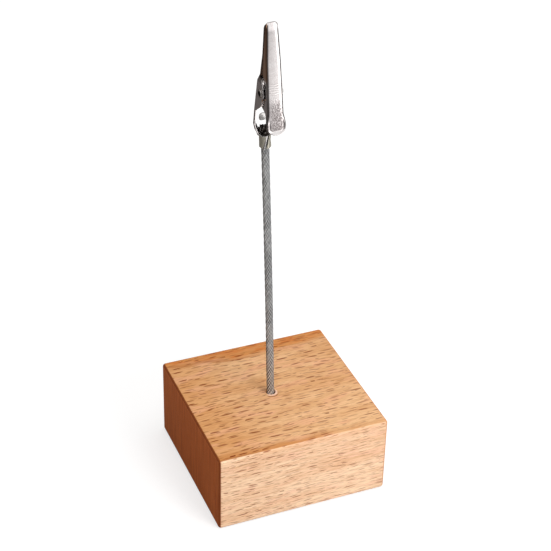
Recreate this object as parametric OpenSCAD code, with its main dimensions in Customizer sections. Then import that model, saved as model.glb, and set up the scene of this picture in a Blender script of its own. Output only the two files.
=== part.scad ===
// Note clip stand: a small toothed clip on a short stem of wire rope, set in a beech block.
// Origin: middle of the block's underside. X runs along the grain, the lever of the clip looks
// along -Y, Z is up. All sizes in millimetres.

/* [Block] */
// Length of the wooden block, along its grain
block_l = 50; // [40:1:70]
// Width of the block, across its grain
block_w = 47.5; // [36:0.5:70]
// Height of the block
block_h = 24; // [20:1:40]
// Radius that the block's edges are rounded to
block_edge = 0.9; // [0.4:0.1:2]
// Depth of the blind hole that takes the stem
hole_depth = 14.6; // [10:0.1:17]
// Width of the glue line round the stem
glue_gap = 0.3; // [0.1:0.05:0.6]
// Depth of the countersink at the hole's mouth
sink = 0.4; // [0.1:0.05:0.8]
// How far the glue stays below the mouth of the hole
glue_low = 1; // [0.5:0.1:3]
// How far the hole stands off the middle of the block
hole_off = 0.7; // [0:0.1:3]

/* [Stem] */
// Diameter of the wire rope
rope_d = 2.15; // [1.6:0.05:3]
// Length along the rope in which a strand goes once round
rope_lay = 14; // [10:1:24]
// Free length of rope between the block and the clip
stem_free = 79.7; // [50:0.1:110]
// Length of rope that stands above the crimp
stem_proud = 2.3; // [0.4:0.1:2.6]
// Lean of the stem towards -X, in degrees
stem_lean = 2.2; // [0:0.1:5]

/* [Clip] */
// Thickness of the clip's steel sheet
sheet = 0.36; // [0.3:0.02:0.4]
// From the rivet to the tip of the nose
nose_reach = 19.2; // [16:0.1:24]
// From the rivet to the end of the thumb pad
lever_reach = 9.8; // [9.6:0.1:14]
// From the rivet down to the foot of the crimp
tail_reach = 17.6; // [17:0.1:20]
// Length of the crimp barrel
crimp_l = 3.6; // [3:0.1:5]
// From the stem's axis to the rivet
pivot_out = 4.4; // [4:0.1:5.4]
// Width of the nose at its tip
tip_w = 3.1; // [2.6:0.1:3.4]
// Width of the lever just above its pad
lever_w = 4.4; // [4:0.02:4.4]
// Width of the thumb pad
pad_w = 5.1; // [4.7:0.1:7]
// Width over the outer ears
ear_w = 5.4; // [5.3:0.1:6]
// Spacing of the teeth
tooth_pitch = 1; // [0.8:0.1:1.6]
// Height of the teeth
tooth_h = 0.5; // [0.3:0.05:0.8]
// Diameter of the rivet's shank
rivet_d = 1.4; // [1.1:0.1:1.5]
// Diameter of the rivet's heads
rivet_head_d = 2.4; // [2:0.1:2.8]
// Height of the rivet's heads
rivet_head_h = 0.4; // [0.2:0.05:0.6]

/* [Spring] */
// Thickness of the spring wire
wire_d = 0.45; // [0.35:0.01:0.46]
// Mean diameter of the spring's curls
coil_d = 2.5; // [2.3:0.05:2.7]
// Free gap between the spring's curls
coil_gap = 0.42; // [0.41:0.01:0.45]

/* [Hidden] */

// Overrun of every cut past the face that it leaves
over = 1;
// Reach past the clip of the outlines that only trim it
wide = 12;
// Clearance of a shaft that turns in its hole, and of one that is pressed in
run_fit = 0.05;
press_fit = 0.02;
// Facets of a full circle: on a bore, on a bend and on the block's corners
bore_fn = 48;
bend_fn = 24;
corner_fn = 20;

// The stem and its hole
strand_share = 0.31;
strand_d = rope_d * strand_share;
lay_r = (rope_d - strand_d) / 2;
strand_count = 6;
strand_sides = 6;
steps_per_lay = 12;
hole_d = rope_d + 2 * glue_gap;
rope_fit = 0.02;
stem_sunk = hole_depth - glue_gap;
crimp_z = stem_free;
pivot_z = crimp_z + tail_reach;
stem_top = crimp_z + crimp_l + stem_proud;
stem_l = stem_sunk + stem_top;

// The clip's outlines, in the plane of the rivet: y towards the spine, z towards the nose
bend_r = 0.6;
tip_round = 0.75;
lower_tip_round = 1.25;
tip_dip_share = 0.5;
corner_share = 0.8;
pad_round = 1.7;
face_tip = 2.05;
face_knee = 3.45;
face_pad = 4;
face_end = 4.25;
knee_z = 5;
pad_z = 7.4;
rim_h = 0.8;
rim_end = 0.5;
tooth_gap = 0.1;
mate_tip = 1.35;
mate_throat = 0;
throat_z = 5.4;
spine_tip = 0.05;
spine_mid = 0.65;
spine_mid_z = 10.4;
spine_throat = 2;
spine_throat_z = 4.3;
spine_low = 5;
spine_bulge = 6.05;
lower_short = 0.4;
throat_w = 4.2;
nose_throat_w = 4.08;
nose_mid_w = 3.96;
nose_mid_z = 9.5;
flare_top = 4.5;
flare_low = 2.9;
ear_low = 6.4;
rail_h = 1.35;
waist_w = 5.4;
waist_z = 11;
funnel_w = 4.8;
funnel_z = 12.6;
foot_w = 3.6;
ear_nose_y = 0.8;
ear_nose_z = 1.9;
ear_nose_r = 2.2;
ear_tail_y = 0.5;
ear_tail_z = 0.2;
ear_tail_r = 2.05;
ear_skirt_y = 0.1;
ear_skirt_z = 3.6;
inner_ear_r = 1.9;
inner_step_y = 0.75;
inner_step_low = 2.8;
inner_step_top = 4.3;
inner_skirt_y = 0.9;
inner_skirt_z = 4;
inner_taper_y = 2.3;
inner_taper_z = 5.6;
rim_z = 7.3;

// The crimp, the window in the tail and the tongue that stays in it
crimp_in = rope_d / 2 + rope_fit;
crimp_wall = 0.45;
crimp_out = crimp_in + crimp_wall;
seam_w = 0.45;
seam_turn = 14;
spine_foot = pivot_out + crimp_out;
foot_z = tail_reach - crimp_l;
spine_foot_z = foot_z - 1.3 * sheet;
window_w = 4;
window_foot_w = 2.4;
window_top = 6.7;
window_round = 0.5;
tongue_l = 1.05;
tongue_top = 8.4;
tongue_low = 10.8;
tongue_round = 0.8;

// The spring: legs lean outwards from the curls to the lever and to the tongue
spring_turns = 2;
lever_leg_turn = 15.7;
tongue_leg_turn = 22.3;
lever_leg_l = 5.6;
tongue_leg_l = 9.4;
lever_leg_x = 0.55;
tongue_leg_x = 1.1;
coil_pitch = wire_d + coil_gap;
rings_per_curl = 8;
wire_sides = 6;

function face_at(z) = -lookup(z, [
    [-lever_reach, face_end], [-pad_z, face_pad], [-knee_z, face_knee], [nose_reach, face_tip]]);
function half_at(z) = lookup(z, [
    [-pad_z, pad_w / 2], [-knee_z, lever_w / 2], [throat_z, nose_throat_w / 2],
    [nose_mid_z, nose_mid_w / 2], [nose_reach, tip_w / 2]]);
function spine_at(z) = lookup(z, [
    [-spine_foot_z, spine_foot], [-waist_z, spine_bulge], [-ear_low, spine_low],
    [spine_throat_z, spine_throat], [spine_mid_z, spine_mid], [nose_reach, -spine_tip]]);
function lower_half_at(z) = lookup(z, [
    [-foot_z, foot_w / 2], [-funnel_z, funnel_w / 2], [-waist_z, waist_w / 2], [-ear_low, ear_w / 2],
    [flare_low, ear_w / 2], [flare_top, throat_w / 2], [nose_reach, tip_w / 2]]);
function mate_at(z) = lookup(z, [[throat_z, mate_throat], [nose_reach, -mate_tip]]);

// Zigzag of the teeth, from the throat to the tip, moved over by shift
function teeth(shift) =
    let (count = floor((nose_reach - throat_z) / tooth_pitch), step = (nose_reach - throat_z) / count)
    [for (i = [0:2 * count])
        let (z = throat_z + i * step / 2)
        [mate_at(z) + shift + (i % 2 == 0 ? tooth_h / 2 : -tooth_h / 2), z]];

// One section of a bent channel: a face at y0 with rounded bends, open towards y1
function channel_ring(z, half, y0, y1, bend) =
    let (n = bend_fn / 4, r = min(bend, half * corner_share))
    concat(
        [for (i = [0:n]) let (a = 180 + 90 * i / n) [r - half + r * cos(a), y0 + r + r * sin(a), z]],
        [for (i = [0:n]) let (a = 270 + 90 * i / n) [half - r + r * cos(a), y0 + r + r * sin(a), z]],
        [[half, y1, z], [-half, y1, z]]);

// Solid through sections that run towards +Z
module loft(rings) {
    n = len(rings[0]);
    last = len(rings) - 1;
    sides = [for (k = [0:last - 1], i = [0:n - 1])
        let (a = k * n + i, b = k * n + (i + 1) % n)
        each [[a, a + n, b], [b, a + n, b + n]]];
    foot = [[for (i = [0:n - 1]) i]];
    head = [[for (i = [0:n - 1]) last * n + n - 1 - i]];
    polyhedron(points = [for (ring = rings) each ring], faces = concat(sides, foot, head));
}

// Plate across the clip with an outline in y and z
module across(w) {
    rotate([90, 0, 90])
        linear_extrude(height = w, center = true)
            children();
}

module on_stem() {
    translate([-hole_off, 0, block_h])
        rotate([0, -stem_lean, 0])
            children();
}

module on_clip() {
    on_stem()
        translate([0, -pivot_out, pivot_z])
            children();
}

// Box with every edge and corner rounded, standing on z = 0
module rounded_box(l, w, h, r) {
    hull()
        for (sx = [-1, 1], sy = [-1, 1], z = [r, h - r])
            translate([sx * (l / 2 - r), sy * (w / 2 - r), z])
                rotate([0, 0, 180 / corner_fn])
                    sphere(r = r / cos(180 / corner_fn), $fn = corner_fn);
}

module wood_block() {
    color("burlywood")
        difference() {
            rounded_box(block_l, block_w, block_h, block_edge);
            on_stem() {
                translate([0, 0, -hole_depth])
                    cylinder(h = hole_depth + over, d = hole_d, $fn = bore_fn);
                translate([0, 0, -sink])
                    cylinder(h = sink + over, d1 = hole_d, d2 = hole_d + 2 * (sink + over), $fn = bore_fn);
            }
        }
}

module stem_adhesive() {
    color("ivory")
        on_stem()
            difference() {
                translate([0, 0, -hole_depth])
                    cylinder(h = hole_depth - glue_low, d = hole_d, $fn = bore_fn);
                translate([0, 0, -stem_sunk])
                    cylinder(h = stem_sunk + over, d = rope_d + 2 * rope_fit, $fn = bore_fn);
            }
}

module rope_core_strand() {
    color("silver")
        on_stem()
            translate([0, 0, -stem_sunk])
                cylinder(h = stem_l, d = strand_d, $fn = bore_fn);
}

module rope_strand(k) {
    color("silver")
        on_stem()
            translate([0, 0, -stem_sunk])
                rotate([0, 0, 360 * k / strand_count])
                    linear_extrude(height = stem_l, twist = -360 * stem_l / rope_lay,
                        slices = ceil(steps_per_lay * stem_l / rope_lay))
                        translate([lay_r, 0])
                            circle(d = strand_d, $fn = strand_sides);
}

// Outer skin of the upper half, or with inset = sheet the hollow inside it
module upper_form(inset) {
    n = 4;
    r = max(bend_r - inset, sheet / 4);
    turn = tip_round - inset;
    tip = nose_reach - inset;
    end_z = -lever_reach - (inset > 0 ? over : 0);
    pad = inset > 0 ? [] : [for (i = [0:n - 1])
        let (a = 90 * i / n, z = pad_round * (1 - cos(a)) - lever_reach)
        channel_ring(z, half_at(z) - pad_round * (1 - sin(a)), face_at(z), wide, r)];
    foot = inset > 0 ? end_z : pad_round - lever_reach;
    body = [for (z = [foot, -pad_z, -knee_z, 0, throat_z, nose_mid_z, tip - turn])
        channel_ring(z, half_at(z) - inset, face_at(z) + inset, wide, r)];
    nose = [for (i = [1:n])
        let (a = 90 * i / n, z = tip - turn * (1 - sin(a)), in = turn * (1 - cos(a)))
        channel_ring(z, half_at(z) - inset - in, face_at(z) + inset + in * tip_dip_share, wide, r)];
    loft(concat(pad, body, nose));
}

// What stays of the upper half's flanges, seen from the side
module upper_side() {
    rim = [for (z = [-rim_z, -pad_z]) [face_at(z) + rim_h, z]];
    polygon(concat(
        teeth(0),
        [[mate_at(nose_reach), nose_reach + over], [-wide, nose_reach + over], [-wide, -lever_reach - over],
            [face_at(-lever_reach) + rim_end, -lever_reach - over],
            [face_at(-lever_reach) + rim_end, -lever_reach]],
        [rim[1], rim[0]],
        [[-inner_taper_y, -inner_taper_z], [-inner_taper_y + inner_skirt_y, -inner_taper_z + inner_skirt_y],
            [inner_skirt_y, -inner_skirt_z],
            [inner_ear_r * cos(30), -inner_ear_r * sin(30)],
            [inner_ear_r * cos(45), inner_ear_r * sin(45)],
            [-inner_step_y, inner_step_low],
            [-inner_step_y, inner_step_top]]));
    circle(r = inner_ear_r, $fn = bore_fn);
}

module upper_jaw() {
    color("gainsboro")
        on_clip()
            difference() {
                intersection() {
                    upper_form(0);
                    across(2 * wide)
                        upper_side();
                }
                upper_form(sheet);
                rotate([0, 90, 0])
                    cylinder(h = 2 * wide, d = rivet_d + 2 * run_fit, center = true, $fn = bore_fn);
            }
}

// Outer skin of the lower half, or with inset = sheet the hollow inside it
module lower_form(inset) {
    n = 4;
    r = max(bend_r - inset, sheet / 4);
    turn = lower_tip_round - inset;
    tip = nose_reach - lower_short - inset;
    foot = inset > 0 ? -foot_z - crimp_l - over : -foot_z - sheet;
    stations = [foot, -foot_z, -spine_foot_z, -funnel_z, -waist_z, -ear_low,
        flare_low, spine_throat_z, flare_top, spine_mid_z, tip - turn];
    body = [for (z = stations)
        channel_ring(z, lower_half_at(z) - inset, inset - spine_at(z), wide, r)];
    nose = [for (i = [1:n])
        let (a = 90 * i / n, z = tip - turn * (1 - sin(a)), in = turn * (1 - cos(a)))
        channel_ring(z, lower_half_at(z) - inset - in, inset + in * tip_dip_share - spine_at(z), wide, r)];
    mirror([0, 1, 0])
        loft(concat(body, nose));
}

// What stays of the lower half's flanges and ears, seen from the side
module lower_side() {
    edge = teeth(tooth_gap);
    rail = [for (z = [-foot_z - sheet, -spine_foot_z, -waist_z, -ear_low]) [spine_at(z) - rail_h, z]];
    polygon(concat(
        edge,
        [[edge[len(edge) - 1][0], nose_reach + over], [wide, nose_reach + over], [wide, -foot_z - over]],
        [[rail[0][0], -foot_z - over]],
        rail,
        [
            [-ear_skirt_y, -ear_skirt_z], [ear_tail_y - ear_tail_r, -ear_tail_z],
            [ear_nose_y - ear_nose_r, ear_nose_z], [ear_nose_y, ear_nose_z + ear_nose_r]]));
    translate([ear_nose_y, ear_nose_z])
        circle(r = ear_nose_r, $fn = bore_fn);
    translate([ear_tail_y, -ear_tail_z])
        circle(r = ear_tail_r, $fn = bore_fn);
}

// Window in the tail's floor, narrower towards the crimp, less the tongue that reaches in from
// one side of it
module tail_window() {
    difference() {
        hull()
            for (sx = [-1, 1], corner = [[window_w, window_top + window_round],
                    [window_w, waist_z - window_round], [window_foot_w, foot_z - 2 * sheet - window_round]])
                translate([sx * (corner[0] / 2 - window_round), -corner[1]])
                    circle(r = window_round, $fn = bend_fn);
        hull() {
            for (z = [tongue_round - tongue_low, -tongue_top - tongue_round])
                translate([tongue_round - tongue_l, z])
                    circle(r = tongue_round, $fn = bend_fn);
            translate([0, -tongue_low])
                square([window_w, tongue_low - tongue_top]);
        }
    }
}

// Barrel that is rolled round the rope, with its open seam towards the lever
module crimp_barrel() {
    translate([0, pivot_out, -tail_reach])
        difference() {
            cylinder(h = crimp_l, r = crimp_out, $fn = bore_fn);
            translate([0, 0, -over])
                cylinder(h = crimp_l + 2 * over, r = crimp_in, $fn = bore_fn);
            translate([0, -crimp_out, crimp_l / 2])
                rotate([0, seam_turn, 0])
                    cube([seam_w, 2 * crimp_out, 2 * crimp_l], center = true);
        }
}

module lower_jaw() {
    color("darkgray")
        on_clip() {
            difference() {
                intersection() {
                    lower_form(0);
                    across(2 * wide)
                        lower_side();
                }
                lower_form(sheet);
                translate([0, wide, 0])
                    rotate([90, 0, 0])
                        linear_extrude(height = wide)
                            tail_window();
                rotate([0, 90, 0])
                    cylinder(h = 2 * wide, d = rivet_d + 2 * press_fit, center = true, $fn = bore_fn);
            }
            crimp_barrel();
        }
}

module pivot_rivet() {
    dome_r = (pow(rivet_head_d / 2, 2) + pow(rivet_head_h, 2)) / (2 * rivet_head_h);
    color("silver")
        on_clip()
            rotate([0, 90, 0]) {
                cylinder(h = ear_w, d = rivet_d, center = true, $fn = bore_fn);
                for (side = [0, 1])
                    mirror([0, 0, side])
                        intersection() {
                            translate([0, 0, ear_w / 2 + rivet_head_h - dome_r])
                                sphere(r = dome_r, $fn = bore_fn);
                            translate([0, 0, ear_w / 2])
                                cylinder(h = rivet_head_h, d = rivet_head_d, $fn = bore_fn);
                        }
            }
}

// Centre line of the spring wire: [x, y, z] with the rivet along x
coil_sweep = 180 - lever_leg_turn - tongue_leg_turn + 360 * spring_turns;
coil_steps = ceil(rings_per_curl * coil_sweep / 360);
coil_half = coil_pitch * coil_sweep / 720;
function curl_point(a) =
    [-coil_half + coil_pitch * a / 360, coil_d / 2 * cos(180 - lever_leg_turn - a),
        coil_d / 2 * sin(180 - lever_leg_turn - a)];
function spring_path() = concat(
    [[-lever_leg_x, curl_point(0)[1] - lever_leg_l * sin(lever_leg_turn),
        curl_point(0)[2] - lever_leg_l * cos(lever_leg_turn)]],
    [for (i = [0:coil_steps]) curl_point(coil_sweep * i / coil_steps)],
    [[tongue_leg_x, curl_point(coil_sweep)[1] + tongue_leg_l * sin(tongue_leg_turn),
        curl_point(coil_sweep)[2] - tongue_leg_l * cos(tongue_leg_turn)]]);

// One ring of the wire at point i of the path, across the mean of its two runs
function wire_ring(path, i) =
    let (
        last = len(path) - 1,
        ahead = path[min(i + 1, last)] - path[max(i - 1, 0)],
        t = ahead / norm(ahead),
        u = [1, 0, 0] - t[0] * t,
        side = u / norm(u),
        up = cross(t, side))
    [for (k = [0:wire_sides - 1])
        let (a = 360 * k / wire_sides)
        path[i] + wire_d / 2 * (cos(a) * side + sin(a) * up)];

// Least gap of the wire to itself, between points over half a curl apart
function least_gap(path) =
    min([for (i = [1:coil_steps + 1], j = [1:coil_steps + 1])
        if (j - i > rings_per_curl / 2) norm(path[i] - path[j]) - wire_d]);

module torsion_spring() {
    path = spring_path();
    echo(least_gap_of_spring = least_gap(path));
    color("dimgray")
        on_clip()
            loft([for (i = [0:len(path) - 1]) wire_ring(path, i)]);
}

wood_block();
stem_adhesive();
rope_core_strand();
rope_strand(1);  // rope_strand_1
rope_strand(2);  // rope_strand_2
rope_strand(3);  // rope_strand_3
rope_strand(4);  // rope_strand_4
rope_strand(5);  // rope_strand_5
rope_strand(6);  // rope_strand_6
lower_jaw();
upper_jaw();
pivot_rivet();
torsion_spring();
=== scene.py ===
import math
import random

import bmesh
import bpy
import numpy as np
from mathutils import Matrix, Vector


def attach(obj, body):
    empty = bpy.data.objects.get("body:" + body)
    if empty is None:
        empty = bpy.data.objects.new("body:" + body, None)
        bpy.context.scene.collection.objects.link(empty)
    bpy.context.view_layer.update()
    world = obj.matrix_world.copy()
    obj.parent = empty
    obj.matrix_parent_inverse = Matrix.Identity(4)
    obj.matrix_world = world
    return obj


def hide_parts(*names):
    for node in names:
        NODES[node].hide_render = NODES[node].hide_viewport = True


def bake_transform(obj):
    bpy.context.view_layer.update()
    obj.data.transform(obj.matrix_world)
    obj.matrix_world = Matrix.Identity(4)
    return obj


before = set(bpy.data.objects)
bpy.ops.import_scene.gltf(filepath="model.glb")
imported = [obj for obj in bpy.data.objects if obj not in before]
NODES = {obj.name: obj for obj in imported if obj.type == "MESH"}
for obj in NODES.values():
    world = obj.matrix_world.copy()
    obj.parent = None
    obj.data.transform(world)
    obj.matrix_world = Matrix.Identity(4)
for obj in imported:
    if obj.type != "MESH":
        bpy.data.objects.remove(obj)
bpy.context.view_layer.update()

MM = 0.001
FULL_TURN = 2 * math.pi

# Sizes that part.scad also holds, in millimetres
BLOCK = (50, 47.5, 24)
BLOCK_EDGE = 0.9
HOLE_OFF = 0.7
HOLE_DEPTH = 14.6
GLUE_LOW = 1.0
STEM_LEAN = math.radians(2.2)
STEM_SUNK = 14.3
STEM_FREE = 79.7
STEM_TOP = 85.6
CRIMP_TOP = 83.3
ROPE_R = 1.075
ROPE_LAY = 14.0
PIVOT_OUT = 4.4
PIVOT_Z = 97.3
SHEET = 0.36
NOSE_REACH = 19.2
LEVER_REACH = 9.8
THROAT_Z = 5.4
KNEE_Z = 5.0
PAD_Z = 7.4
FOOT_Z = 14.0
PAD_HALF = 2.55
PAD_ROUND = 1.7
EAR_HALF = 2.7

# The lever's face and its half width, as lines through points of height and distance
FACE_LINE = ((-LEVER_REACH, -4.25), (-PAD_Z, -4.0), (-KNEE_Z, -3.45), (NOSE_REACH, -2.05))
HALF_LINE = ((-PAD_Z, PAD_HALF), (-KNEE_Z, 2.2), (THROAT_Z, 2.04), (9.5, 1.98), (NOSE_REACH, 1.55))

# Outline of an outer ear above and below its corner, as y and z: a circle round EAR_NOSE, then straight lines
EAR_NOSE = (0.8, 1.9)
EAR_NOSE_R = 2.2
EAR_SIDE = ((-1.4, 1.9), (-1.55, -0.2), (-0.1, -3.6))

# Sizes of this scene alone, in millimetres
HOLE_R = 1.28
HOLE_SHIFT = (0.18, 0.12, 0)
LIP = 0.2
LIP_CENTRE = (HOLE_SHIFT[0] - HOLE_OFF, -0.25, 0)
STEM_BOW = 0.16
STRAND_R = ROPE_R / 3
WIRE_R = STRAND_R / 3
WIRE_LAY = 5.6
WEAVE_COUNT = 9
WEAVE_RISE = 1.28

LEAN_AXES = Matrix((
    (math.cos(STEM_LEAN), 0, -math.sin(STEM_LEAN)),
    (0, 1, 0),
    (math.sin(STEM_LEAN), 0, math.cos(STEM_LEAN))))
STEM = Matrix.Translation((-HOLE_OFF, 0, BLOCK[2])) @ LEAN_AXES.to_4x4()
CLIP = STEM @ Matrix.Translation((0, -PIVOT_OUT, PIVOT_Z))


def in_metres(matrix, points):
    """Points in millimetres in a local frame, as points in metres in the row frame."""
    m = np.array(matrix)
    return (np.asarray(points, float) @ m[:3, :3].T + m[:3, 3]) * MM


# Camera
def set_camera():
    """The photograph's camera, solved from the corners of the block."""
    data = bpy.data.cameras.new("photo_camera")
    data.sensor_width = 36
    data.lens = 101.68
    data.clip_start = 0.01
    data.clip_end = 20
    camera = bpy.data.objects.new("photo_camera", data)
    bpy.context.scene.collection.objects.link(camera)
    right = (0.92635, -0.3761, 0.02077)
    down = (-0.19113, -0.51685, -0.83446)
    ahead = (0.32457, 0.76903, -0.55067)
    place = (-0.13609, -0.32242, 0.29417)
    rows = [[right[i], -down[i], -ahead[i], place[i]] for i in range(3)]
    camera.matrix_world = Matrix(rows + [[0, 0, 0, 1]])
    bpy.context.scene.camera = camera
    bpy.context.scene.view_settings.view_transform = "Standard"


# Node graphs
def rgb(r, g, b):
    """A colour written in 0 to 255 as the screen shows it, as a linear one."""
    return tuple(((v / 255 + 0.055) / 1.055) ** 2.4 if v > 10 else v / 255 / 12.92 for v in (r, g, b)) + (1,)


class Graph:
    """A node tree under construction. Most methods add nodes and give back the socket of their result."""

    def __init__(self, tree):
        self.tree = tree
        tree.nodes.clear()

    def add(self, kind, inputs=(), **settings):
        node = self.tree.nodes.new(kind)
        for key, value in settings.items():
            setattr(node, key, value)
        for key, value in dict(inputs).items():
            self.put(node.inputs[key], value)
        return node

    def put(self, socket, value):
        if isinstance(value, bpy.types.NodeSocket):
            self.tree.links.new(value, socket)
        else:
            socket.default_value = value

    def math(self, operation, a, b=0.0):
        return self.add("ShaderNodeMath", {0: a, 1: b}, operation=operation).outputs[0]

    def chain(self, operation, first, rest):
        for value in rest:
            first = self.math(operation, first, value)
        return first

    def plus(self, first, *rest):
        return self.chain("ADD", first, rest)

    def minus(self, a, b):
        return self.math("SUBTRACT", a, b)

    def times(self, first, *rest):
        return self.chain("MULTIPLY", first, rest)

    def most(self, first, *rest):
        return self.chain("MAXIMUM", first, rest)

    def size(self, value):
        return self.math("ABSOLUTE", value)

    def vec(self, operation, a, b=(0, 0, 0)):
        node = self.add("ShaderNodeVectorMath", {0: a, 1: b}, operation=operation)
        return node.outputs["Value" if operation in ("LENGTH", "DOT_PRODUCT") else "Vector"]

    def split(self, vector):
        return self.add("ShaderNodeSeparateXYZ", {0: vector}).outputs

    def span(self, value, low, high, to_low=0.0, to_high=1.0, smooth=True):
        """From to_low to to_high while value goes from low to high."""
        inputs = {"Value": value, "From Min": low, "From Max": high, "To Min": to_low, "To Max": to_high}
        kind = "SMOOTHSTEP" if smooth else "LINEAR"
        return self.add("ShaderNodeMapRange", inputs, interpolation_type=kind).outputs["Result"]

    def band(self, value, start, full, full_end, end):
        """1 while value is between full and full_end, fading to 0 at start and at end."""
        return self.times(self.span(value, start, full), self.span(value, end, full_end))

    def mix(self, factor, a, b, blend="MIX"):
        node = self.add("ShaderNodeMix", data_type="RGBA", blend_type=blend)
        self.put(node.inputs["Factor"], factor)
        self.put(node.inputs[6], a)
        self.put(node.inputs[7], b)
        return node.outputs[2]

    def noise(self, place, stretch, detail=2.0, rough=0.5, output="Fac"):
        """Noise with about stretch cycles to a millimetre, a number or one for each of x, y and z."""
        if isinstance(stretch, float):
            stretch = (stretch, stretch, stretch)
        inputs = {"Vector": self.vec("MULTIPLY", place, stretch), "Scale": 1.0, "Detail": detail}
        return self.add("ShaderNodeTexNoise", {**inputs, "Roughness": rough}).outputs[output]

    def bump(self, height, strength, distance):
        inputs = {"Height": height, "Strength": strength, "Distance": distance}
        return self.add("ShaderNodeBump", inputs).outputs[0]

    def place_mm(self):
        """Object coordinates, in millimetres."""
        return self.vec("MULTIPLY", self.add("ShaderNodeTexCoord").outputs["Object"], (1000, 1000, 1000))

    def local(self, place, matrix):
        """x, y and z of place in a local frame, such as STEM or CLIP."""
        spot = self.vec("SUBTRACT", place, tuple(matrix.translation))
        return [self.vec("DOT_PRODUCT", spot, tuple(row)) for row in matrix.to_3x3().inverted()]


def new_material(name):
    material = bpy.data.materials.new(name)
    material.use_nodes = True
    return material, Graph(material.node_tree)


def finish_material(graph, **inputs):
    shader = graph.add("ShaderNodeBsdfPrincipled", inputs)
    output = graph.add("ShaderNodeOutputMaterial")
    graph.tree.links.new(shader.outputs[0], output.inputs[0])


# Wood and glue

# Layers of ray flecks: the cell that holds one fleck, half its size, a shift of the cells, and its strength
TOP_FLECKS = (
    ((4.8, 1.9, 60), (1.85, 0.28, 600), (0.3, 0.7, 0.2), 1.0),
    ((4.2, 1.7, 60), (1.5, 0.22, 600), (4.1, 2.6, 7.3), 0.8))
FRONT_FLECKS = (
    ((4.2, 60, 1.25), (1.7, 600, 0.16), (1.3, 3.7, 2.2), 1.0),
    ((3.2, 60, 0.95), (1.15, 600, 0.11), (8.1, 5.6, 3.3), 0.75))


def flecks(g, place, cell, half, shift):
    """Short lens-shaped ray flecks, one to a cell: how dark each point is, from 0 to 1."""
    scaled = g.vec("ADD", g.vec("DIVIDE", place, cell), shift)
    cells = g.add("ShaderNodeTexVoronoi", {"Vector": scaled, "Scale": 1.0, "Randomness": 1.0}).outputs
    away = g.vec("MULTIPLY", g.vec("SUBTRACT", scaled, cells["Position"]), cell)
    chance = g.split(cells["Color"])
    size = g.span(chance[0], 0.0, 1.0, 0.4, 1.15, smooth=False)
    reach = g.math("DIVIDE", g.vec("LENGTH", g.vec("DIVIDE", away, half)), size)
    shape = g.span(reach, 0.55, 1.15, 1.0, 0.0)
    return g.times(shape, g.span(chance[1], 0.0, 1.0, 0.25, 1.0, smooth=False))


def fleck_layers(g, place, layers):
    return g.most(*[g.times(flecks(g, place, cell, half, shift), strength)
                    for cell, half, shift, strength in layers])


def top_tone(g, place, rings, mottle):
    """The top of the block: darker to the left, behind a curved border, and along its front edge."""
    x, y = g.split(place)[:2]
    left, front = -BLOCK[0] / 2, -BLOCK[1] / 2
    tone = g.mix(g.span(rings, 0.36, 0.64), rgb(220, 168, 118), rgb(233, 188, 141))
    tone = g.mix(g.span(x, left + 2.0, left + 21.0, 0.5, 0.0), tone, rgb(206, 138, 70))
    tone = g.mix(g.span(mottle, 0.5, 0.68, 0.0, 0.6), tone, rgb(232, 174, 136))

    border_x, border_y, border_bend, border_half = 5.0, 17.9, 3.4, 30.0
    wobble = g.times(g.minus(mottle, 0.5), 3.2)
    aside = g.size(g.math("DIVIDE", g.minus(x, border_x), border_half))
    arc = g.math("POWER", aside, 2.0)
    past = g.minus(y, g.plus(border_y, g.times(arc, border_bend), wobble))
    tone = g.mix(g.span(past, -0.2, 1.4, 0.0, 0.9), tone, rgb(208, 138, 74))
    patch = g.noise(place, (0.2, 0.9, 0.9))
    orange = g.times(g.span(past, 0.2, 1.4), g.span(patch, 0.46, 0.64, 0.0, 0.9))
    tone = g.mix(orange, tone, rgb(205, 120, 58))
    streak = g.times(g.span(g.size(past), 0.1, 0.9, 1.0, 0.0), g.span(x, -3.0, 5.0, 1.0, 0.15))
    tone = g.mix(g.times(streak, 0.65), tone, rgb(180, 108, 56))

    near = g.times(g.span(g.plus(y, wobble), front + 2.95, front + 0.95), g.span(x, 0.0, 12.0, 1.0, 0.15))
    tone = g.mix(g.times(near, 0.75), tone, rgb(198, 130, 70))
    edge = g.times(g.span(y, front + 1.05, front + 0.25), g.span(x, left + 6.0, left + 16.0, 1.0, 0.25))
    return g.mix(g.times(edge, 0.7), tone, rgb(140, 82, 40))


def front_tone(g, rings, mottle):
    tone = g.mix(g.span(rings, 0.36, 0.64), rgb(243, 198, 160), rgb(255, 222, 188))
    return g.mix(g.span(mottle, 0.5, 0.68, 0.0, 0.6), tone, rgb(250, 203, 172))


def long_grain(g, place, grain, front):
    """Faces along the grain: their colour, how dark their flecks are, and their fibres."""
    rings = g.noise(grain, (0.02, 0.14, 0.3), 3.0, 0.55)
    fibres = g.noise(grain, (0.16, 2.2, 2.9), 3.0, 0.62)
    lines = g.noise(grain, (0.3, 5.0, 5.5), 2.0, 0.6)
    mottle = g.noise(place, (0.11, 0.3, 0.45))
    colour = g.mix(front, top_tone(g, place, rings, mottle), front_tone(g, rings, mottle))
    darker = g.mix(front, rgb(182, 118, 66), rgb(206, 150, 104))
    colour = g.mix(g.span(fibres, 0.42, 0.66, 0.0, 0.42), colour, darker)
    colour = g.mix(g.span(lines, 0.5, 0.68, 0.0, 0.3), colour, darker)
    both = g.mix(front, fleck_layers(g, grain, TOP_FLECKS), fleck_layers(g, grain, FRONT_FLECKS))
    dark = g.split(both)[0]
    strength = g.span(g.split(place)[0], -20.0, 10.0, 1.0, 0.82)
    fleck_tone = g.mix(front, rgb(122, 46, 4), rgb(144, 64, 18))
    return g.mix(g.times(dark, strength), colour, fleck_tone), dark, fibres


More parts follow.
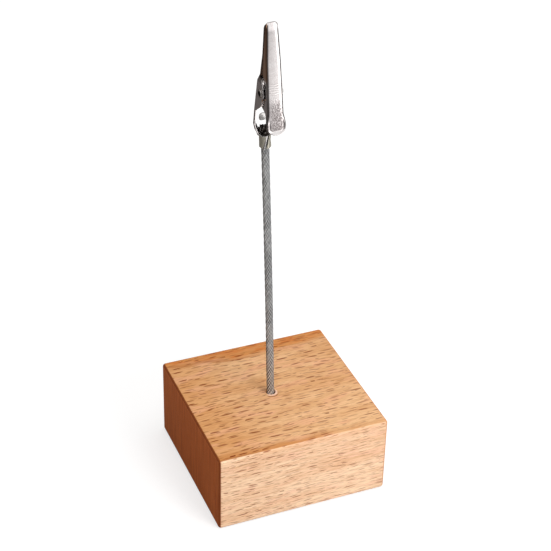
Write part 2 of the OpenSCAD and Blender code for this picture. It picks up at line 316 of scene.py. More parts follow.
def end_grain(g, place, outward):
    """Faces across the grain, and their pores; -X is painted darker and redder, as painted shade."""
    rays = g.noise(place, (0.4, 1.9, 0.07), 3.0, 0.6)
    pores = g.noise(place, (1.0, 6.0, 6.0), 1.0)
    arcs = g.noise(place, (0.02, 0.05, 0.4))
    streaks = g.span(rays, 0.35, 0.68)
    # Painted shade: the tone for -X, darker and redder than the one for +X.
    shaded_red = g.mix(streaks, rgb(217, 119, 60), rgb(190, 95, 43))
    shaded_red = g.mix(g.span(arcs, 0.42, 0.62, 0.0, 0.4), shaded_red, rgb(202, 108, 52))
    unshaded_end = g.mix(streaks, rgb(214, 152, 100), rgb(190, 124, 78))
    cut = g.mix(g.span(outward, 0.0, 0.5, 0.0, 0.85), shaded_red, unshaded_end)
    return g.mix(g.span(pores, 0.56, 0.7, 0.0, 0.4), cut, rgb(128, 62, 30)), pores


def hole_mouth(g, place, wood):
    """The pale lip on the hole's open side, with a painted highlight where it faces the light, and a painted
    shadow line beside it.
    """
    across = g.vec("MULTIPLY", g.vec("SUBTRACT", place, LIP_CENTRE), (1, 1, 0))
    y, z = g.split(place)[1:3]
    top = g.span(z, BLOCK[2] - 0.8, BLOCK[2] - 0.5)
    ragged = g.times(g.minus(g.noise(place, 1.6), 0.5), 0.35)
    reach = g.plus(g.vec("LENGTH", across), ragged)
    # Partly the lip's own paler wood and partly a painted highlight: it is painted pale only on the lit side.
    lit_side = g.span(g.vec("DOT_PRODUCT", across, (0.45, -0.89, 0)), -0.7, 0.5)
    lip = g.times(g.span(reach, HOLE_R + 2 * LIP, HOLE_R + 2.8 * LIP, 1.0, 0.0), top, lit_side)
    wood = g.mix(g.times(lip, 0.85), wood, rgb(246, 204, 178))
    # Painted shadow: a dark arc just outside the lip on the front.
    lip_shadow_r = 2.0
    lip_shadow = g.times(g.span(g.size(g.minus(reach, lip_shadow_r)), 0.12, 0.3, 1.0, 0.0), top, g.span(y, -1.2, -1.8))
    return g.mix(g.times(lip_shadow, 0.85), wood, rgb(160, 96, 52))


def beech():
    material, g = new_material("beech_wood")
    place = g.place_mm()
    wander = g.noise(place, (0.05, 0.16, 0.16), output="Color")
    bend = g.vec("MULTIPLY", g.vec("SUBTRACT", wander, (0.5, 0.5, 0.5)), (0.0, 2.4, 2.0))
    grain = g.vec("ADD", place, bend)
    normal = g.add("ShaderNodeNewGeometry").outputs["Normal"]
    outward = g.split(normal)[0]
    side = g.split(g.vec("ABSOLUTE", normal))
    ends = g.span(side[0], 0.22, 0.6)
    front = g.span(side[1], 0.5, 0.75)

    along, dark, fibres = long_grain(g, place, grain, front)
    cut, pores = end_grain(g, place, outward)
    wood = g.mix(ends, along, cut)
    # Painted shade: the rounded edges round the -X face are darkened where they would catch light.
    shaded_edge = g.band(outward, -0.98, -0.85, -0.5, -0.3)
    wood = g.mix(g.times(shaded_edge, 0.75), wood, rgb(112, 56, 28))
    wood = hole_mouth(g, place, wood)

    height = g.plus(g.times(dark, -0.8), g.times(fibres, 0.5), g.times(pores, ends, -0.6))
    finish_material(g, **{
        "Base Color": wood, "Roughness": g.span(fibres, 0.3, 0.7, 0.5, 0.66, smooth=False),
        "Specular IOR Level": 0.15, "Normal": g.bump(height, 0.45, 0.0001)})
    return material


def glue():
    material, g = new_material("set_glue")
    cloud = g.noise(g.place_mm(), 2.2, 3.0)
    # The glue's dark browns are painted shade: they stand for the shade in the narrow gap round the rope.
    colour = g.mix(g.span(cloud, 0.4, 0.65), rgb(120, 84, 58), rgb(92, 60, 40))
    finish_material(g, **{
        "Base Color": colour, "Roughness": g.span(cloud, 0.3, 0.7, 0.28, 0.5, smooth=False),
        "Subsurface Weight": 0.15, "Normal": g.bump(cloud, 0.3, 0.0001)})
    return material


# Steel
def start_steel(name, tone, stain):
    """A steel material begun: its graph, place in millimetres, colour clouded with stain, and pits."""
    material, g = new_material(name)
    place = g.place_mm()
    cloud = g.noise(place, 0.55, 3.0, 0.6)
    pits = g.noise(place, 9.0, 1.0)
    colour = g.mix(g.span(cloud, 0.38, 0.66), tone, stain)
    colour = g.mix(g.span(pits, 0.62, 0.74, 0.0, 0.35), colour, rgb(120, 108, 100))
    return material, g, place, colour, pits


def finish_steel(g, place, colour, pits, rough, metal=1.0, shine=0.5):
    """Drawing marks that run along Z set the roughness between the two of rough."""
    marks = g.noise(place, (9.0, 9.0, 0.72), 3.0, 0.65)
    height = g.plus(marks, g.times(pits, 0.5))
    finish_material(g, **{
        "Base Color": colour, "Metallic": metal,
        "Roughness": g.span(marks, 0.3, 0.7, rough[0], rough[1], smooth=False),
        "Specular IOR Level": shine, "Normal": g.bump(height, 0.12, 0.00003)})


def painted_weave_and_shade(g, place, colour):
    """The rope's painted light: a lattice of painted highlights and shade that stands for its wires, a
    painted warm reflection of the wood near the block, painted shade that dulls the side towards the light,
    and dark painted shade along the side away from it.
    """
    x, y, up = g.local(place, STEM)
    # Painted highlights and shade in a lattice, standing for the wires.
    turn = g.times(g.math("ARCTAN2", y, x), WEAVE_COUNT)
    rise = g.times(up, FULL_TURN / WEAVE_RISE)
    wires = g.times(g.math("COSINE", turn), g.math("COSINE", rise))
    uneven = g.noise(place, (0.5, 0.5, 0.3))
    least = g.span(up, 8.0, 34.0, 0.08, 0.27)
    most = g.span(up, 8.0, 34.0, 0.92, 0.73)
    amount = g.times(g.span(wires, 0.35, -0.35, least, most), g.span(uneven, 0.36, 0.62, 0.65, 1.0))
    colour = g.mix(amount, colour, rgb(50, 52, 54))
    # Painted reflection: warmer near the wood.
    colour = g.mix(g.span(up, 24.0, 4.0), colour, (1.0, 0.92, 0.85, 1), "MULTIPLY")
    # Painted shade: duller towards the lit side, and dark along the side away from the light.
    right = g.plus(g.times(x, 0.93), g.times(y, -0.37))
    colour = g.mix(g.span(right, -0.35, 1.0, 0.0, 0.5, smooth=False), colour, rgb(84, 88, 92))
    return g.mix(g.span(right, -0.55, -1.0, 0.0, 0.45), colour, rgb(50, 44, 42))


def galvanised_wire():
    """The rope's wires, with painted shade and a few grey painted glints on their ends at the crimp's mouth.
    """
    material, g, place, colour, pits = start_steel("galvanised_wire", rgb(252, 253, 254), rgb(242, 243, 244))
    colour = painted_weave_and_shade(g, place, colour)
    # Painted shade on the wires' ends, standing for the shaded inside of the crimp, with grey painted glints.
    end_shade_from, end_shade_to = 106.2, 106.9
    end_glints = g.noise(place, (2.0, 2.0, 2.6), 1.0)
    end_shade = g.mix(g.span(end_glints, 0.6, 0.66), rgb(46, 40, 36), rgb(176, 172, 168))
    colour = g.mix(g.span(g.split(place)[2], end_shade_from, end_shade_to), colour, end_shade)
    finish_steel(g, place, colour, pits, (0.5, 0.62), metal=0.3, shine=0.1)
    return material


def warm_shaded_flank(g, colour, place, deep):
    """A warm brown tint on the lever's flank on -X, with painted shade that makes it browner towards the
    parting line.
    """
    x, y, z = place
    edge = g.minus(g.size(x), g.span(z, -KNEE_Z, NOSE_REACH, 2.2, 1.6, smooth=False))
    amount = g.times(g.span(edge, -0.5, -0.25), g.span(deep, 0.02, 0.2))
    amount = g.times(amount, g.span(z, 3.2, 5.2), g.span(x, 0.1, -0.6))
    # A warm brown tint, on the -X flank only.
    colour = g.mix(amount, colour, rgb(206, 164, 134))
    parting = g.span(z, THROAT_Z, NOSE_REACH, 0.0, -1.35, smooth=False)
    low = g.span(g.minus(y, parting), -0.9, 0.2)
    # Painted shade: browner towards the parting line with the lower jaw.
    return g.mix(g.times(amount, low), colour, rgb(112, 78, 56))


def painted_ear_shade(g, colour, place):
    """Painted shade: a dark line on the inner ears, along the outline of the outer ones that shade them."""
    x, y, z = place
    spot = g.add("ShaderNodeCombineXYZ", {1: y, 2: z}).outputs[0]
    arc = g.minus(g.vec("LENGTH", g.vec("SUBTRACT", spot, (0,) + EAR_NOSE)), EAR_NOSE_R)
    below = g.span(z, EAR_NOSE[1], EAR_NOSE[1] - 0.01, 0.0, 9.0)
    beside = g.minus(arc, below)
    corner = EAR_SIDE[1]
    for upper, lower in zip(EAR_SIDE, EAR_SIDE[1:]):
        run = Vector(upper) - Vector(lower)
        run.normalize()
        line = g.plus(g.times(g.minus(y, corner[0]), -run.y), g.times(g.minus(z, corner[1]), run.x))
        beside = g.most(beside, line)
    amount = g.times(g.band(beside, -0.3, -0.1, 0.4, 0.62), g.band(g.size(x), 1.7, 1.85, 2.33, 2.36))
    amount = g.times(amount, g.band(z, -4.6, -4.0, 4.2, 4.6))
    # Painted shade along the outer ears' outline.
    return g.mix(g.times(amount, 0.92), colour, rgb(28, 22, 20))


def pad_grime(g, colour, place, spot, deep):
    """Dirt in the knurl of the thumb pad, and the duller plating round it."""
    x, _, z = place
    skin = g.span(deep, 0.35, 0.15)
    grains = g.noise(spot, (2.8, 2.8, 2.2), 3.0, 0.7)
    amount = g.times(g.span(grains, 0.43, 0.56), skin, g.span(z, 0.5, -4.0), g.span(z, -9.0, -8.4))
    amount = g.times(amount, g.span(x, -1.9, -0.3, 0.25, 1.0), g.span(x, 2.0, 1.5))
    colour = g.mix(g.times(amount, 0.85), colour, rgb(84, 76, 75))
    dull = g.times(g.span(z, 1.0, -5.0, 0.0, 0.4), g.span(z, -9.2, -8.5))
    return g.mix(g.times(dull, skin), colour, rgb(140, 130, 130))


def plain_parts(g, colour, place, deep, seam_highlight_tone):
    """The duller crimp barrel, a painted highlight along its slanted seam, and the spring's tongue; and how
    plain each is.
    """
    x, _, z = place
    barrel = g.span(z, 0.1 - FOOT_Z, -0.3 - FOOT_Z)
    colour = g.mix(g.times(barrel, 0.9), colour, rgb(188, 184, 168))
    # Painted highlight: a bright, more metallic strip along the slanted seam of the barrel.
    seam_x, seam_z, seam_slant = -0.42, -15.8, 0.25
    seam = g.minus(g.minus(x, seam_x), g.times(g.minus(z, seam_z), seam_slant))
    streak = g.times(g.span(g.size(seam), 0.28, 0.12), barrel)
    colour = g.mix(streak, colour, seam_highlight_tone)
    tongue = g.times(g.band(z, -11.0, -10.8, -8.5, -8.2), g.span(g.size(x), 1.9, 1.7), g.span(deep, 5.0, 6.0))
    colour = g.mix(tongue, colour, rgb(205, 203, 202))
    return colour, g.most(g.minus(barrel, streak), tongue)


def nickel_plate():
    """The clip's two halves: bright nickel, with wear and dirt, painted shade and a painted highlight."""
    tone = rgb(232, 228, 227)
    material, g, spot, colour, pits = start_steel("nickel_plate", tone, rgb(222, 216, 215))
    place = g.local(spot, CLIP)
    face = g.span(place[2], -KNEE_Z, NOSE_REACH, -3.45, -2.05, smooth=False)
    deep = g.minus(place[1], face)
    colour = warm_shaded_flank(g, colour, place, deep)
    colour = painted_ear_shade(g, colour, place)
    colour = pad_grime(g, colour, place, spot, deep)
    colour, plain = plain_parts(g, colour, place, deep, tone)
    metal = g.minus(1.0, g.times(plain, 0.6))
    finish_steel(g, spot, colour, pits, (0.14, 0.26), metal=metal)
    return material


def rivet_plate():
    """The rivet, with painted shade in the hole of its rolled end on -X."""
    material, g, spot, colour, pits = start_steel("rivet_plate", rgb(205, 200, 196), rgb(184, 178, 172))
    x, y, z = g.local(spot, CLIP)
    off_axis = g.math("SQRT", g.plus(g.math("POWER", y, 2.0), g.math("POWER", z, 2.0)))
    # Painted shade inside the rolled end's hole.
    bore_shade = g.times(g.span(off_axis, 0.76, 0.64), g.span(x, 0.0, -1.0))
    colour = g.mix(bore_shade, colour, rgb(16, 12, 10))
    finish_steel(g, spot, colour, pits, (0.24, 0.38))
    return material


def spring_steel():
    material, g, place, colour, pits = start_steel("spring_steel", rgb(150, 146, 142), rgb(124, 120, 116))
    finish_steel(g, place, colour, pits, (0.3, 0.42))
    return material


# Meshes and objects
def plain_mesh(name, points, faces):
    mesh = bpy.data.meshes.new(name)
    mesh.from_pydata([tuple(p) for p in points], [], [tuple(f) for f in faces])
    return mesh


def bare(name, mesh):
    item = bpy.data.objects.new(name, mesh)
    bpy.context.scene.collection.objects.link(item)
    return item


def dressed(name, mesh, material, angle=60):
    """A visible piece, smooth except at edges sharper than angle."""
    mesh.shade_smooth()
    mesh.set_sharp_from_angle(angle=math.radians(angle))
    mesh.materials.clear()
    mesh.materials.append(material)
    item = bare(name, mesh)
    return item


def piece(name, points, faces, material, angle=60):
    mesh = plain_mesh(name, points, faces)
    mesh.validate()
    return dressed(name, mesh, material, angle)


def applied(item):
    """The object's mesh with its modifiers in it; the object goes."""
    shown = item.evaluated_get(bpy.context.evaluated_depsgraph_get())
    mesh = bpy.data.meshes.new_from_object(shown)
    bpy.data.objects.remove(item)
    return mesh


def unit(vectors):
    return vectors / np.linalg.norm(vectors, axis=1)[:, None]


def tube(path, radius, sides, reference):
    """Points and faces of a closed tube along a path; radius is one number or one for each point."""
    path = np.asarray(path, float)
    reference = np.asarray(reference, float)
    along = unit(np.gradient(path, axis=0))
    across = unit(reference - (along @ reference)[:, None] * along)
    up = np.cross(along, across)
    turn = np.arange(sides) * FULL_TURN / sides
    size = np.broadcast_to(np.asarray(radius, float), (len(path),))[:, None, None]
    ring = across[:, None, :] * np.cos(turn)[None, :, None] + up[:, None, :] * np.sin(turn)[None, :, None]
    points = (path[:, None, :] + ring * size).reshape(-1, 3)
    faces = []
    for k in range(len(path) - 1):
        for i in range(sides):
            j = (i + 1) % sides
            faces.append((k * sides + i, k * sides + j, (k + 1) * sides + j, (k + 1) * sides + i))
    faces.append(tuple(range(sides - 1, -1, -1)))
    faces.append(tuple(range((len(path) - 1) * sides, len(path) * sides)))
    return points, faces


def lathe(profile, sides):
    """Points and faces of a closed turned body.

    The profile is (radius, height), from axis to axis, upwards on its outside."""
    points, faces, rings = [], [], []
    for r, h in profile:
        if r == 0:
            rings.append([len(points)])
            points.append((0, 0, h))
        else:
            rings.append(list(range(len(points), len(points) + sides)))
            for i in range(sides):
                a = FULL_TURN * i / sides
                points.append((r * math.cos(a), r * math.sin(a), h))
    for low, high in zip(rings, rings[1:]):
        for i in range(sides):
            j = (i + 1) % sides
            corners = [low[i % len(low)], low[j % len(low)], high[j % len(high)], high[i % len(high)]]
            faces.append(tuple(dict.fromkeys(corners)))
    return points, faces


def smooth_step(value, low, high):
    t = np.clip((value - low) / (high - low), 0, 1)
    return t * t * (3 - 2 * t)


def along_line(z, line):
    """The value at height z of a line through points of height and value."""
    heights, values = zip(*line)
    return np.interp(z, heights, values)


# The block and the glue
def hole_profile():
    """The hole with its narrow lip, as the body that is cut out."""
    return [(0, -HOLE_DEPTH), (HOLE_R, -HOLE_DEPTH), (HOLE_R, -1.7 * LIP), (HOLE_R + 0.1 * LIP, -LIP),
            (HOLE_R + 0.4 * LIP, -0.35 * LIP), (HOLE_R + LIP, 0.15 * LIP),
            (HOLE_R + 3 * LIP, 2 * LIP), (0, 2 * LIP)]


def make_block(material):
    shape = bmesh.new()
    bmesh.ops.create_cube(shape, size=1)
    bmesh.ops.scale(shape, vec=[v * MM for v in BLOCK], verts=shape.verts)
    bmesh.ops.translate(shape, vec=(0, 0, BLOCK[2] / 2 * MM), verts=shape.verts)
    bmesh.ops.bevel(
        shape, geom=list(shape.edges), offset=BLOCK_EDGE * MM, segments=7, profile=0.5, affect="EDGES")
    mesh = bpy.data.meshes.new("block")
    shape.to_mesh(mesh)
    shape.free()
    block = bare("block_body", mesh)
    points, faces = lathe(hole_profile(), 64)
    points = np.array(points) + HOLE_SHIFT
    cutter = bare("cutter", plain_mesh("cutter", in_metres(STEM, points), faces))
    cut = block.modifiers.new("hole", "BOOLEAN")
    cut.object = cutter
    cut.solver = "EXACT"
    mesh = applied(block)
    bpy.data.objects.remove(cutter)
    item = dressed("beech_block", mesh, material, 30)
    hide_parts("wood_block")
    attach(item, "stand")


def make_glue(material):
    """Set glue under and round the rope, with a top that creeps up the hole and the rope."""
    foot, rope_foot, top = 0.01 - HOLE_DEPTH, -0.01 - STEM_SUNK, -GLUE_LOW
    outer, inner = HOLE_R - 0.004, ROPE_R + 0.015
    profile = [(0, foot), (outer, foot), (outer, top + 0.12), (outer - 0.05, top - 0.06),
               ((outer + inner) / 2, top - 0.16), (inner + 0.04, top - 0.04), (inner, top + 0.18),
               (inner, rope_foot), (0, rope_foot)]
    points, faces = lathe(profile, 48)
    item = piece("glue_fillet", in_metres(STEM, points), faces, material, 35)
    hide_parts("stem_adhesive")
    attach(item, "stand")


# The rope
def rope_turn(k, z):
    """Angle round the rope at which strand k lies at height z."""
    return math.radians(60 * k) + FULL_TURN * (z + STEM_SUNK) / ROPE_LAY


def strand_line(k):
    """The middle of strand k: its points, and two directions across it at each."""
    z = np.concatenate([
        np.linspace(-STEM_SUNK, 0, 24)[:-1], np.linspace(0, CRIMP_TOP, 184)[:-1],
        np.linspace(CRIMP_TOP, STEM_TOP, 13)])
    turn = rope_turn(k, z)
    out = np.stack([np.cos(turn), np.sin(turn), np.zeros_like(z)], axis=1)
    lay_r = 0 if k == 0 else 2 * STRAND_R
    middle = out * lay_r + np.stack([np.zeros_like(z), np.zeros_like(z), z], axis=1)
    side = np.cross(unit(np.gradient(middle, axis=0)), out)
    return middle, out, side


def frayed(path, heights, rng):
    """A wire's path with its own cut end, spread out above the crimp but clear of the clip's floor."""
    floor_y, most_cut = 1.0, 0.7
    loose = (np.clip((heights - CRIMP_TOP) / (STEM_TOP - CRIMP_TOP), 0, 1) ** 0.9)[:, None]
    spread = rng.uniform(0.55, 0.85)
    lean = np.array([rng.uniform(-0.3, 0.3), rng.uniform(-0.3, 0.3), 0])
    path = path + loose * (path * np.array([spread, spread, 0]) + lean)
    path[:, 1] = np.minimum(path[:, 1], floor_y)
    end = STEM_TOP - rng.uniform(0.0, 1.0) ** 2 * most_cut
    path = path[path[:, 2] <= end]
    tip = path[-1] + (path[-1] - path[-2]) * 0.4
    tip[2] = min(tip[2], STEM_TOP)
    return np.vstack([path, tip])


def pressed(points, k):
    """Points of outer strand k drawn out towards a round outline, as in a rope that is pressed when made."""
    x, y, z = points.T
    share = 0.62
    beside = np.arctan2(y, x) - rope_turn(k, z)
    beside = np.clip(np.arctan2(np.sin(beside), np.cos(beside)), -math.pi / 6, math.pi / 6)
    lobe = 2 * np.cos(beside) + np.sqrt(np.maximum(1 - (2 * np.sin(beside)) ** 2, 0))
    amount = share * (1 - smooth_step(z, CRIMP_TOP - 1.5, CRIMP_TOP - 0.5))
    grown = 1 + amount * (3 / lobe - 1)
    return points * np.stack([grown, grown, np.ones_like(z)], axis=1)


def make_strand(k, material, rng):
    """One strand of the stem: six wires laid round a seventh, against the lay of the rope."""
    middle, out, side = strand_line(k)
    heights = middle[:, 2]
    points, faces = [], []
    for j in range(7):
        twist = math.radians(60 * j) - FULL_TURN * heights / WIRE_LAY
        reach = 0 if j == 6 else 2 * WIRE_R
        path = middle + reach * (np.cos(twist)[:, None] * out + np.sin(twist)[:, None] * side)
        path = frayed(path, heights, rng)
        swell = 1.02 + 0.45 * np.clip((path[:, 2] - CRIMP_TOP - 0.2) / 1.2, 0, 1)
        swell[-1] *= 0.6
        wire_points, wire_faces = tube(path, WIRE_R * swell, 7, (1, 0, 0.02))
        if k:
            wire_points = pressed(wire_points, k)
        bow = np.sin(math.pi * np.clip(wire_points[:, 2] / STEM_FREE, 0, 1))
        wire_points[:, 0] += STEM_BOW * bow
        base = len(points)
        points.extend(wire_points)
        faces.extend(tuple(base + i for i in face) for face in wire_faces)
    name = "centre_strand" if k == 0 else "outer_strand_%d" % k
    item = piece(name, in_metres(STEM, points), faces, material)
    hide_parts("rope_core_strand" if k == 0 else "rope_strand_%d" % k)
    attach(item, "stand")


# The clip
def make_rivet(material):
    """A semi-tubular rivet: a domed head on one side, and a rolled end round an open hole on the other."""
    shank_r, head_r, head_h = 0.7, 1.2, 0.42
    dome = [(0, EAR_HALF + head_h)]
    for a in (math.radians(v) for v in (12, 24, 36, 48, 60, 72, 82)):
        dome.append((head_r * math.sin(a), EAR_HALF + head_h * (1 - (1 - math.cos(a)) ** 1.4)))
    dome += [(head_r, EAR_HALF + 0.04), (head_r - 0.04, EAR_HALF + 0.005), (shank_r, EAR_HALF + 0.005)]
    rolled = [(0, -1.7), (0.5, -1.5), (0.52, -0.2), (0.56, 0.12), (0.68, 0.3), (0.84, 0.36), (0.98, 0.33),
              (1.1, 0.24), (1.12, 0.1), (1.02, 0.01), (shank_r, 0.005)]
    profile = [(r, -EAR_HALF - past) for r, past in rolled] + list(reversed(dome))
    points, faces = lathe(profile, 40)
    turned = [(h, y, z) for z, y, h in points]
    faces = [tuple(reversed(face)) for face in faces]
    item = piece("rivet", in_metres(CLIP, turned), faces, material, 35)
    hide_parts("pivot_rivet")
    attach(item, "stand")


def make_spring(material):
    """The same wound wire as the CAD's, rounder, with its legs on the lever and on the tongue."""
    wire_r, coil_r, pitch, curls = 0.225, 1.25, 0.87, 2
    lever_turn, tongue_turn = math.radians(15.7), math.radians(22.3)
    lever_leg, tongue_leg, lever_x, tongue_x = 5.6, 9.4, 0.55, 1.1
    sweep = math.pi - lever_turn - tongue_turn + curls * FULL_TURN
    half = pitch * sweep / (2 * FULL_TURN)
    a = np.linspace(0, sweep, 72)
    theta = math.pi - lever_turn - a
    coil = np.stack([-half + pitch * a / FULL_TURN, coil_r * np.cos(theta), coil_r * np.sin(theta)], axis=1)
    first = coil[0] - lever_leg * np.array([0, math.sin(lever_turn), math.cos(lever_turn)])
    first[0] = -lever_x
    last = coil[-1] + tongue_leg * np.array([0, math.sin(tongue_turn), -math.cos(tongue_turn)])
    last[0] = tongue_x
    leg_in = first + (coil[0] - first) * np.linspace(0, 1, 15)[:-1, None]
    leg_out = coil[-1] + (last - coil[-1]) * np.linspace(0, 1, 21)[1:, None]
    path = np.vstack([leg_in, coil, leg_out])
    radius = np.full(len(path), wire_r)
    radius[[0, -1]] = 0.17
    points, faces = tube(path, radius, 12, (1, 0, 0))
    item = piece("jaw_spring", in_metres(CLIP, points), faces, material)
    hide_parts("torsion_spring")
    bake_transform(item)


def relaxed(points, edges, rounds):
    """Points smoothed along edges without shrinking: each round draws them in, then pushes them out."""
    count = np.bincount(edges.ravel(), minlength=len(points)).astype(float)[:, None]
    for pull in (0.5, -0.52) * rounds:
        total = np.zeros_like(points)
        for i in range(3):
            total[:, i] = np.bincount(edges[:, 0], points[edges[:, 1], i], len(points))
            total[:, i] += np.bincount(edges[:, 1], points[edges[:, 0], i], len(points))
        points = points + pull * (total / count - points)
    return points


def stamped(node, tilt=0.0):
    """A CAD node remade as one fine mesh with the soft edges of stamped sheet.

    Gives back its points, in the clip's frame, and the mesh. It is remade at a tilt that
    lays its long face along the grid."""
    voxel, rounds = 0.08, 2
    to_clip = Matrix.Rotation(tilt, 4, "X") @ CLIP.inverted() @ Matrix.Scale(1 / MM, 4)
    mesh = NODES[node].data.copy()
    mesh.transform(to_clip)
    whole = bmesh.new()
    whole.from_mesh(mesh)
    bmesh.ops.remove_doubles(whole, verts=whole.verts, dist=0.0005)
    whole.to_mesh(mesh)
    whole.free()
    item = bare("remesh", mesh)
    step = item.modifiers.new("fine", "REMESH")
    step.mode = "VOXEL"
    step.voxel_size = voxel
    mesh = applied(item)
    points = np.zeros(len(mesh.vertices) * 3)
    mesh.vertices.foreach_get("co", points)
    edges = np.zeros(len(mesh.edges) * 2, np.int64)
    mesh.edges.foreach_get("vertices", edges)
    points = relaxed(points.reshape(-1, 3), edges.reshape(-1, 2), rounds)
    back = np.array(Matrix.Rotation(-tilt, 3, "X"))
    return points @ back.T, mesh


def cross_ribs(x, z):
    """Faint ribs across the lever just above the rivet."""
    low, high, pitch = 0.4, 3.7, 0.6
    wave = (z - low) / pitch + 0.12 * np.sin(1.7 * x + 0.8) + 0.1 * np.sin(3.1 * x + 2.6 * z)
    zone = smooth_step(z, low, low + 0.4) * (1 - smooth_step(z, high - 0.5, high))
    return 0.011 * zone * np.cos(FULL_TURN * wave) * (0.7 + 0.5 * np.sin(2.3 * z + 1.9 * x))


def knurl(x, z):
    """The worn diamond knurl of the thumb pad."""
    pitch = 0.84
    bent_x = x + 0.1 * np.sin(2.9 * z + 0.6) + 0.06 * np.sin(6.1 * z + 2.0 * x)
    bent_z = z + 0.1 * np.sin(3.7 * x + 1.1) + 0.06 * np.sin(7.3 * x - 1.9 * z)
    one_way = np.cos(FULL_TURN * (bent_x + bent_z) / pitch)
    other_way = np.cos(FULL_TURN * (bent_x - bent_z) / pitch)
    wear = 0.6 + 0.5 * np.sin(2.1 * x + 1.3 * z) * np.sin(1.7 * z - 0.8 * x + 0.5)
    return 0.022 * one_way * other_way * wear


def lever_lift(x, z, half):
    """How far the skin stands out from the CAD's: crown, ribs, knurl, and the pad's rim and groove."""
    lift = 0.08 * (1 - (x / half) ** 2) - 0.05 * smooth_step(x - half, -1.1, -0.45)
    lift += cross_ribs(x, z) * smooth_step(half - np.abs(x), 0.35, 0.75)
    corner_x = np.maximum(np.abs(x) - (PAD_HALF - PAD_ROUND), 0)
    corner_z = np.maximum(-z - (LEVER_REACH - PAD_ROUND), 0)
    inside = np.where(corner_z > 0, PAD_ROUND - np.hypot(corner_x, corner_z), half - np.abs(x))
    grip = (1 - smooth_step(z, -0.8, 0.0)) * smooth_step(inside, 0.6, 0.85) * smooth_step(z, -8.6, -8.2)
    lift += knurl(x, z) * grip
    pad = 1 - smooth_step(z, -7.2, -5.6)
    rim = 0.16 * (1 - smooth_step(inside, 0.3, 0.62))
    groove = 0.08 * np.exp(-((inside - 0.78) / 0.13) ** 2)
    return lift + pad * (rim - groove)


def make_upper_jaw(material):
    """The lever, the CAD's shape with a finer skin, a lower rim round the pad and a pad that curls."""
    face_fall = FACE_LINE[-1][1] - FACE_LINE[-2][1]
    points, mesh = stamped("upper_jaw", -math.atan2(face_fall, NOSE_REACH + KNEE_Z))
    x, y, z = points.T
    face = along_line(z, FACE_LINE)
    skin = 1 - smooth_step(y - face, 0.1, 0.3)
    lift = skin * lever_lift(x, z, along_line(z, HALF_LINE))
    over_rim = np.maximum(y - face - SHEET, 0)
    lower_rim = 0.6 * over_rim * smooth_step(-z, 4.6, 6.0) * smooth_step(np.abs(x), 1.6, 1.9)
    wider = 0.22 * smooth_step(-x, 1.2, 2.1) * smooth_step(-z, 4.0, 6.5)
    tip_dip = 0.36 * skin * np.clip((z - 16.2) / 3.0, 0, 1) ** 2
    pad_curl = 0.42 * np.clip((-z - 8.55) / 1.25, 0, 1) ** 2
    points[:, 0] -= wider
    points[:, 1] += tip_dip - pad_curl - lift - lower_rim
    mesh.vertices.foreach_set("co", in_metres(CLIP, points).ravel())
    item = dressed("toothed_lever", mesh, material)
    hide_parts("upper_jaw")
    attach(item, "jaw")


def make_lower_jaw(material):
    """The tail, the CAD's shape with a crimp barrel that is dented by the tool and flares at its seam."""
    points, mesh = stamped("lower_jaw")
    x, y, z = points.T
    out_y = y - PIVOT_OUT
    reach = np.hypot(x, out_y) + 1e-9
    angle = np.abs(np.degrees(np.arctan2(x, out_y)))
    dent_z = -15.7
    dents = sum(np.exp(-((angle - at) / 16) ** 2) for at in (0, 112)) * np.exp(-((z - dent_z) / 0.75) ** 2)
    flare = np.exp(-((angle - 172) / 14) ** 2) * np.where(x > 0, 1.0, 0.35)
    barrel = smooth_step(-z, FOOT_Z, FOOT_Z + 0.5)
    change = barrel * (0.1 * flare - 0.14 * dents) / reach
    points[:, :2] += np.stack([change * x, change * out_y], axis=1)
    mesh.vertices.foreach_set("co", in_metres(CLIP, points).ravel())
    item = dressed("toothed_tail", mesh, material)
    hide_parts("lower_jaw")
    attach(item, "stand")


# Light and ground

# What polished metal mirrors, by the direction's angle in degrees from -Y towards +X, as linear colours
SURROUNDINGS = (
    (-180, 0.10, 0.08, 0.07), (-157, 0.155, 0.14, 0.135), (-125, 0.08, 0.07, 0.065),
    (-50, 0.09, 0.085, 0.08), (-22, 0.13, 0.12, 0.12), (-8, 0.3, 0.29, 0.29), (4, 0.9, 0.88, 0.88),
    (20, 1.15, 1.13, 1.13), (28, 1.45, 1.42, 1.41), (35, 3.0, 2.98, 2.95), (52, 3.0, 2.98, 2.95),
    (60, 0.3, 0.28, 0.27), (90, 0.09, 0.08, 0.075), (125, 0.10, 0.09, 0.085), (150, 0.42, 0.41, 0.40),
    (180, 0.10, 0.08, 0.07))


def surroundings(g, way):
    """The tone of SURROUNDINGS in a direction: bright to the front right, dim to the left and behind."""
    x, y = g.split(way)[:2]
    turn = g.math("ARCTAN2", x, g.times(y, -1.0))
    ramp = g.add("ShaderNodeValToRGB", {0: g.span(turn, -math.pi, math.pi, smooth=False)})
    stops = ramp.color_ramp.elements
    for angle, *colour in SURROUNDINGS[1:-1]:
        stops.new((angle + 180) / 360).color = (*colour, 1)
    stops[0].color = (*SURROUNDINGS[0][1:], 1)
    stops[len(stops) - 1].color = (*SURROUNDINGS[-1][1:], 1)
    return ramp.outputs["Color"]


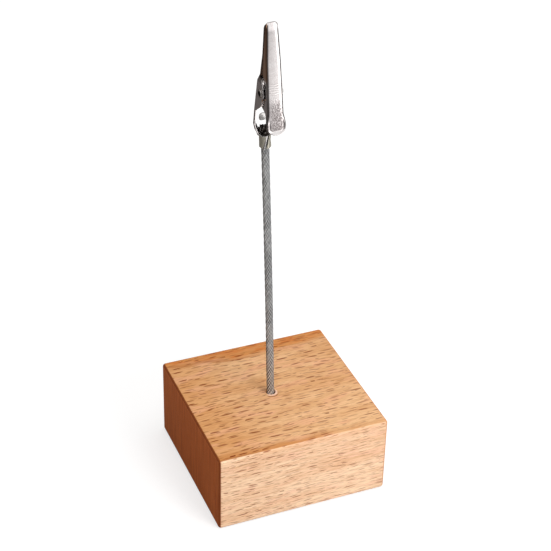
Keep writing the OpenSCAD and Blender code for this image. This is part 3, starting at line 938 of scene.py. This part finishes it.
def set_world():
    """White to the camera, a plain pale level to the object, and the surroundings to polished metal."""
    world = bpy.data.worlds.new("studio")
    bpy.context.scene.world = world
    world.use_nodes = True
    g = Graph(world.node_tree)
    rays = g.add("ShaderNodeLightPath").outputs
    way = g.add("ShaderNodeTexCoord").outputs["Generated"]
    x, _, z = g.split(way)
    level = g.span(x, -0.8, 0.8, 0.29, 0.62)
    ambient = g.add("ShaderNodeBackground", {"Color": (1.0, 0.985, 0.965, 1), "Strength": level})
    mirrored = g.mix(g.span(z, 0.3, 0.75), surroundings(g, way), (1, 1, 1, 1))
    room = g.add("ShaderNodeBackground", {"Color": mirrored, "Strength": 1.0})
    white = g.add("ShaderNodeBackground", {"Color": (1, 1, 1, 1), "Strength": 1.0})
    shown = {0: rays["Is Camera Ray"], 1: ambient.outputs[0], 2: white.outputs[0]}
    seen = g.add("ShaderNodeMixShader", shown)
    mixed = g.add("ShaderNodeMixShader", {0: rays["Is Glossy Ray"], 1: seen.outputs[0], 2: room.outputs[0]})
    output = g.add("ShaderNodeOutputWorld")
    g.tree.links.new(mixed.outputs[0], output.inputs[0])


def set_floor():
    """White to the camera, with the object's shadow; metal mirrors the room's tones in it."""
    half = 3
    corners = [(-half, -half, 0), (half, -half, 0), (half, half, 0), (-half, half, 0)]
    mesh = plain_mesh("floor", corners, [(0, 1, 2, 3)])
    floor = bare("floor", mesh)
    material, g = new_material("floor_paper")
    rays = g.add("ShaderNodeLightPath").outputs
    place = g.add("ShaderNodeTexCoord").outputs["Object"]
    from_clip = g.vec("ADD", place, (0.004, 0.006, -0.12))
    reach = g.vec("LENGTH", place)
    far = g.plus(g.span(reach, 0.3, 0.4, 1.0, 0.62), g.span(reach, 0.9, 1.2, 0.0, 0.7))
    mirrored = g.mix(1.0, surroundings(g, from_clip), far, "MULTIPLY")
    room = g.add("ShaderNodeEmission", {"Color": mirrored, "Strength": 1.0})
    tint = g.mix(rays["Is Camera Ray"], (0.42, 0.4, 0.38, 1), (0.45, 0.45, 0.45, 1))
    paper = g.add("ShaderNodeBsdfDiffuse", {"Color": tint})
    glow = g.times(rays["Is Camera Ray"], g.span(reach, 0.45, 1.3, 0.64, 1.05))
    lift = g.add("ShaderNodeEmission", {"Color": (1, 1, 1, 1), "Strength": glow})
    both = g.add("ShaderNodeAddShader", {0: paper.outputs[0], 1: lift.outputs[0]})
    mixed = g.add("ShaderNodeMixShader", {0: rays["Is Glossy Ray"], 1: both.outputs[0], 2: room.outputs[0]})
    output = g.add("ShaderNodeOutputMaterial")
    g.tree.links.new(mixed.outputs[0], output.inputs[0])
    mesh.materials.append(material)


def lamp(name, place, size, watts, aim=(0, 0, 0.03)):
    data = bpy.data.lights.new(name, "AREA")
    data.size = size
    data.energy = watts
    light = bpy.data.objects.new(name, data)
    light.location = place
    light.rotation_euler = (Vector(aim) - Vector(place)).to_track_quat("-Z", "Y").to_euler()
    light.visible_glossy = False
    bpy.context.scene.collection.objects.link(light)


set_camera()
set_world()
set_floor()
lamp("key", (0.4, -0.85, 0.45), 0.5, 6.8)
lamp("top", (0.05, -0.1, 0.95), 0.8, 4.2)

rope_wire = galvanised_wire()
clip_plate = nickel_plate()
chance = random.Random(11)

make_block(beech())
make_glue(glue())
for k in range(7):
    make_strand(k, rope_wire, chance)
make_rivet(rivet_plate())
make_spring(spring_steel())
make_upper_jaw(clip_plate)
make_lower_jaw(clip_plate)
